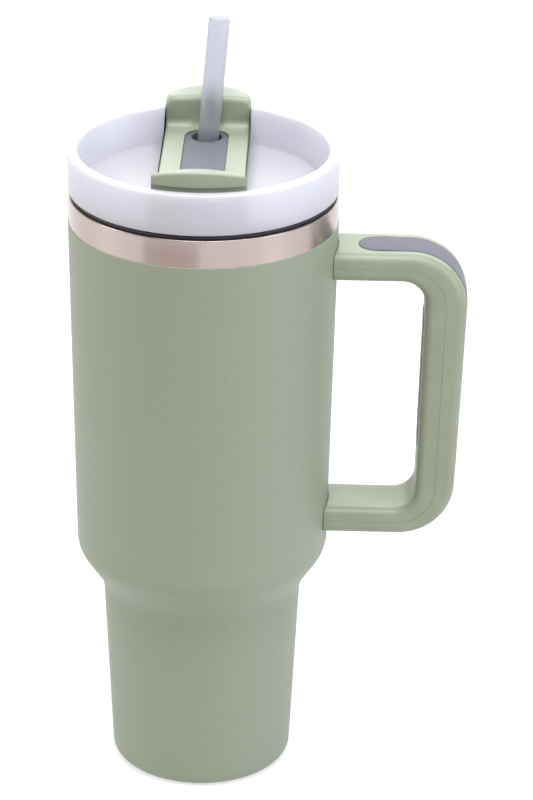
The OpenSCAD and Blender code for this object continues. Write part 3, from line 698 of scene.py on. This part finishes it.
# handle: two moulded channel halves that meet on the mid surface
handle = {"armTop": 211.9, "upperT": 10.8, "armLow": 98.9, "lowerT": 10.2, "barX": 97.2, "barT": 15.4,
          "lean": 1.9, "leanIn": 1.2, "cornerR": 21.0, "innerR": 8.5, "w": 12.5, "edge": 3.4, "wall": 2.4,
          "saddle": 0.5, "root": 40.0, "blend": 12, "seam": 0.12,
          "armSteps": 28, "cornerSteps": 28, "barSteps": 40}
grips = {"w": 7.0, "depth": 0.9, "proud": 0.22, "gap": 0.22, "edge": 0.45, "crown": 0.12,
         "ridge": 0.3, "ridgeAt": 20.5, "ridgeLength": 2.6}
outerPad = {"from": 9.4, "to": 98.0, "tip": 11.0, "ridge": 1}
innerPad = {"from": 59.5, "to": 88.0, "tip": 1.5, "ridge": 0}
plugSeat = {"x": 61.0, "r": 2.9, "depth": 1.0}


def handleLines():
    # matching points of the outer and inner outline in the XZ plane: arm, corner arc, bar, corner arc, arm
    highZ, lowZ = handle["armTop"] - handle["cornerR"], handle["armLow"] + handle["cornerR"]
    barAt = lambda z: handle["barX"] - (highZ - z) * np.tan(rad(handle["lean"]))
    barIn = lambda z: handle["barX"] - handle["barT"] - (highZ - z) * np.tan(rad(handle["leanIn"]))
    along = np.linspace(0, 1, handle["armSteps"], endpoint=False)[:, None]
    down = np.linspace(0, 1, handle["barSteps"], endpoint=False)[1:, None]

    def line(r, zTop, zLow, high, low):
        upper = np.array([handle["root"], zTop]) * (1 - along) + np.array([high[0], zTop]) * along
        lower = np.array([handle["root"], zLow]) * (1 - along) + np.array([low[0], zLow]) * along
        upright = (high + [r, 0]) * (1 - down) + (low + [r, 0]) * down
        return np.concatenate([upper, arc(high, r, 90, 0, handle["cornerSteps"]), upright,
                               arc(low, r, 0, -90, handle["cornerSteps"]), lower[::-1]])

    r, i = handle["cornerR"], handle["innerR"]
    outer = line(r, handle["armTop"], handle["armLow"], np.array([barAt(highZ) - r, highZ]),
                 np.array([barAt(lowZ) - r, lowZ]))
    inTop, inLow = handle["armTop"] - handle["upperT"], handle["armLow"] + handle["lowerT"]
    inner = line(i, inTop, inLow, np.array([barIn(highZ) - i, inTop - i]),
                 np.array([barIn(lowZ) - i, inLow + i]))
    return outer, inner


outerLine, innerLine = handleLines()


def handlePoint(station, y, h, side):
    # station is a place along the outlines, y goes across, and h goes out of the mid surface to one side;
    # near the cup every line of the handle runs on to the cup's round body
    index = np.arange(len(outerLine))
    at = lambda line: np.stack([np.interp(station, index, line[:, k]) for k in (0, 1)], 1)
    outer, inner = at(outerLine), at(innerLine)
    outward = (outer - inner) / np.linalg.norm(outer - inner, axis=1)[:, None]
    p = ((outer + inner) / 2)[:, None, :] + side * h[..., None] * outward[:, None, :]
    y = np.broadcast_to(y, h.shape)
    root = np.sqrt((upperAt(p[..., 1]) + handle["saddle"]) ** 2 - y ** 2)
    blendX = outerLine[handle["armSteps"], 0] - handle["blend"]
    share = np.clip((p[..., 0] - handle["root"]) / (blendX - handle["root"]), 0, 1)
    x = np.where(p[..., 0] < blendX, root * (1 - share) + blendX * share, p[..., 0])
    return np.stack([x, y, p[..., 1]], -1)


def halfThickness(station):
    half = np.linalg.norm(outerLine - innerLine, axis=1) / 2
    return np.interp(station, np.arange(len(half)), half)


def padWidth(station, pad, spare):
    # half width of a grip along the handle: full in the middle, and an ellipse towards each end
    middle = (outerLine + innerLine) / 2
    run = np.concatenate([[0], np.cumsum(np.linalg.norm(np.diff(middle, axis=0), axis=1))])
    at = lambda s: np.interp(s, np.arange(len(run)), run)
    fromEnd = np.minimum(at(station) - at(pad["from"]), at(pad["to"]) - at(station)) + spare
    near = np.clip(fromEnd / pad["tip"], 0, 1)
    return np.maximum((grips["w"] + spare) * np.sqrt(1 - (1 - near) ** 2), 0.5)


def padStations(pad):
    # places along the handle, closer together at a grip's rounded ends
    near = 0.14
    ends = np.concatenate([np.linspace(0, near, 16) ** 2 / near, 1 - np.linspace(near, 0, 16) ** 2 / near])
    inside = np.arange(np.ceil(pad["from"]), pad["to"])
    return np.unique(np.round(np.concatenate([pad["from"] + (pad["to"] - pad["from"]) * ends, inside]), 3))


def makeHandleHalf(name, side, pad, replaced):
    # a channel: its section goes up one side, round the long edge, across the top, down into the grip's recess
    # and back, then returns along the inside of the wall
    w, wall, edge, seam = handle["w"], handle["wall"], handle["edge"], handle["seam"]
    stations = np.unique(np.concatenate([np.arange(len(outerLine)), padStations(pad),
                                         [pad["from"] - 0.01, pad["to"] + 0.01]]))
    t = halfThickness(stations)[:, None]
    inPad = ((stations >= pad["from"]) & (stations <= pad["to"]))[:, None]
    g = padWidth(np.clip(stations, pad["from"], pad["to"]), pad, grips["gap"])[:, None]
    depth = grips["depth"] * inPad
    one = np.ones_like(t)
    turn = rad(np.linspace(180, 90, 11))
    sideY = np.concatenate([[seam - w, -w], edge - w + edge * np.cos(turn)])
    y = np.concatenate([one * sideY, -g - (w - edge - g) * np.array([0.7, 0.35, 0.0]),
                        -g * np.array([1.0, 0.66, 0.33])], 1)
    h = np.concatenate([0 * one, seam * one, t + edge * np.sin(turn) - edge, t + np.zeros(3),
                        t - depth + np.zeros(3)], 1)
    y = np.concatenate([y, 0 * one, -y[:, ::-1]], 1)
    h = np.concatenate([h, t - depth, h[:, ::-1]], 1)
    around = rad(np.linspace(180, 0, y.shape[1]))
    boxy = 0.35  # a low power makes the inside's oval nearly a rectangle
    yIn = one * (w - wall) * np.sign(np.cos(around)) * np.abs(np.cos(around)) ** boxy
    hIn = (t - wall) * np.abs(np.sin(around)) ** boxy
    outside, inside = handlePoint(stations, y, h, side), handlePoint(stations, yIn, hIn, side)
    ring = np.concatenate([outside, inside[:, ::-1]], 1)
    caps = [np.concatenate([inside[k], inside[k, ::-1]])[None] for k in (0, -1)]
    grid = np.concatenate([caps[0], ring, caps[1]])
    return gridPiece(name, grid, handleMaterial, "cup", replaced, wrapRows=False)


def makeGrip(name, side, pad, replaced):
    # a pad in the recess: flat below, with a rounded long edge, a slight crown and, on the long one,
    # a low cross ridge
    stations = padStations(pad)
    t = halfThickness(stations)[:, None]
    g = padWidth(stations, pad, 0)[:, None]
    edge = np.minimum(grips["edge"], 0.7 * g)
    turn = rad(np.linspace(180, 90, 6))
    yEdge = -g + edge * (1 + np.cos(turn))
    yTop = (-g + edge) * (1 - np.linspace(0, 1, 6)[1:])
    crown = grips["crown"] * (1 - (yTop / g) ** 2) - grips["crown"] * (1 - ((-g + edge) / g) ** 2)
    wave = np.exp(-((stations[:, None] - grips["ridgeAt"]) / grips["ridgeLength"]) ** 2)
    top = t + grips["proud"] + grips["ridge"] * pad["ridge"] * wave
    y = np.concatenate([-g, yEdge, yTop], 1)
    h = np.concatenate([t - grips["depth"], top - edge + edge * np.sin(turn), top + crown], 1)
    y = np.concatenate([y, -y[:, -2::-1]], 1)
    h = np.concatenate([h, h[:, -2::-1]], 1)
    ring = handlePoint(stations, y, h, side)
    ends = [handlePoint(stations[[k]], np.zeros((1, 1)), h[[k], :1] + 0.3, side) for k in (0, -1)]
    grid = np.concatenate([np.broadcast_to(ends[0], ring[:1].shape), ring,
                           np.broadcast_to(ends[1], ring[:1].shape)])
    return gridPiece(name, grid, gripMaterial, "cup", replaced, wrapRows=False)


outerHalf = makeHandleHalf("handleOuterHalf", 1, outerPad, "handle_outer_half")
innerHalf = makeHandleHalf("handleInnerHalf", -1, innerPad, "handle_inner_half")
armUnder = handle["armTop"] - handle["upperT"]
drill(innerHalf, (plugSeat["x"], 0), plugSeat["r"], armUnder - 1, armUnder + plugSeat["depth"])
drill(outerHalf, (plugSeat["x"], 0), plugSeat["r"], handle["armLow"] - 1, handle["armLow"] + plugSeat["depth"])
makeGrip("gripOuter", 1, outerPad, "grip_outer")
makeGrip("gripInner", -1, innerPad, "grip_inner")
print("handle made")

# the small parts that keep the shape they came with
smallParts = {"base_plate": drawnMaterial, "vacuum_seal": glassMaterial, "getter": drawnMaterial,
              "port_cap": drawnMaterial, "upper_bracket": drawnMaterial, "lower_bracket": drawnMaterial,
              "upper_screw": drawnMaterial, "lower_screw": drawnMaterial, "upper_plug": handleMaterial,
              "lower_plug": handleMaterial, "pivot_post": coverMaterial, "pivot_clip": coverMaterial,
              "pivot_oring": darkSilicone}
for nodeName, material in smallParts.items():
    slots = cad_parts[nodeName].data.materials
    slots.clear()
    slots.append(material)
print("small parts coloured")

# a pale table lit from below, four soft boxes, and a warm grey card beside the camera that it doesn't see;
# places and sizes in metres, powers in watts
studio = {"sky": 0.25, "skyColour": "#f4f0ec", "aim": (0, 0, 0.12),
          "floor": {"colour": "#a4a4a4", "glow": 0.62, "half": 14},
          "softboxes": {
              "left": {"at": (-1.35, -0.2, 0.8), "size": (0.6, 1.5), "power": 10, "colour": "#ffffff"},
              "right": {"at": (1.25, -0.65, 0.8), "size": (0.6, 1.5), "power": 12, "colour": "#f0f4ff"},
              "back": {"at": (0.0, 1.7, 1.0), "size": (2.6, 1.6), "power": 32, "colour": "#ffffff"},
              "top": {"at": (0.1, -0.35, 1.6), "size": (1.2, 1.2), "power": 34, "colour": "#f6f6ff"}},
          "card": {"colour": "#846b5c", "distance": 0.55, "azimuth": -24, "width": 0.46, "low": 0.002,
                   "high": 0.8}}


def stagePlate(name, corners, materialName, colour, glow=0):
    # one flat matt sheet of the set
    mesh = bpy.data.meshes.new(name)
    mesh.from_pydata(corners, [], [(0, 1, 2, 3)])
    material, _, shader = principled(materialName)
    shader.inputs["Base Color"].default_value = toLinear(colour)
    shader.inputs["Roughness"].default_value = 0.9
    if glow:
        shader.inputs["Emission Color"].default_value = (1, 1, 1, 1)
        shader.inputs["Emission Strength"].default_value = glow
    mesh.materials.append(material)
    plate = bpy.data.objects.new(name, mesh)
    bpy.context.scene.collection.objects.link(plate)
    return plate


def makeFloor():
    half = studio["floor"]["half"]
    corners = [(-half, -half, 0), (half, -half, 0), (half, half, 0), (-half, half, 0)]
    stagePlate("floor", corners, "opal light table", studio["floor"]["colour"], studio["floor"]["glow"])


def makeLights():
    world = bpy.data.worlds.new("studio")
    world.use_nodes = True
    background = world.node_tree.nodes["Background"]
    background.inputs["Color"].default_value = toLinear(studio["skyColour"])
    background.inputs["Strength"].default_value = studio["sky"]
    bpy.context.scene.world = world
    for name, box in studio["softboxes"].items():
        data = bpy.data.lights.new(name, "AREA")
        data.shape = "RECTANGLE"
        data.size, data.size_y = box["size"]
        data.energy = box["power"]
        data.color = toLinear(box["colour"])[:3]
        lamp = bpy.data.objects.new(name, data)
        lamp.location = box["at"]
        lamp.rotation_euler = (Vector(studio["aim"]) - Vector(box["at"])).to_track_quat("-Z", "Y").to_euler()
        bpy.context.scene.collection.objects.link(lamp)


def makeCard():
    # an upright sheet that faces the axis; it darkens the middle of the front as a studio flag does
    card = studio["card"]
    angle, half, low, high = rad(card["azimuth"]), card["width"] / 2, card["low"], card["high"]
    centre = np.array([np.sin(angle), -np.cos(angle)]) * card["distance"]
    side = np.array([np.cos(angle), np.sin(angle)]) * half
    corners = [(*(centre + s * side), z) for s, z in ((-1, low), (1, low), (1, high), (-1, high))]
    sheet = stagePlate("card", corners, "warm grey card", card["colour"])
    sheet.visible_camera = sheet.visible_shadow = False


makeFloor()
makeLights()
makeCard()
bpy.context.scene.view_settings.view_transform = "Standard"
print("stage made")
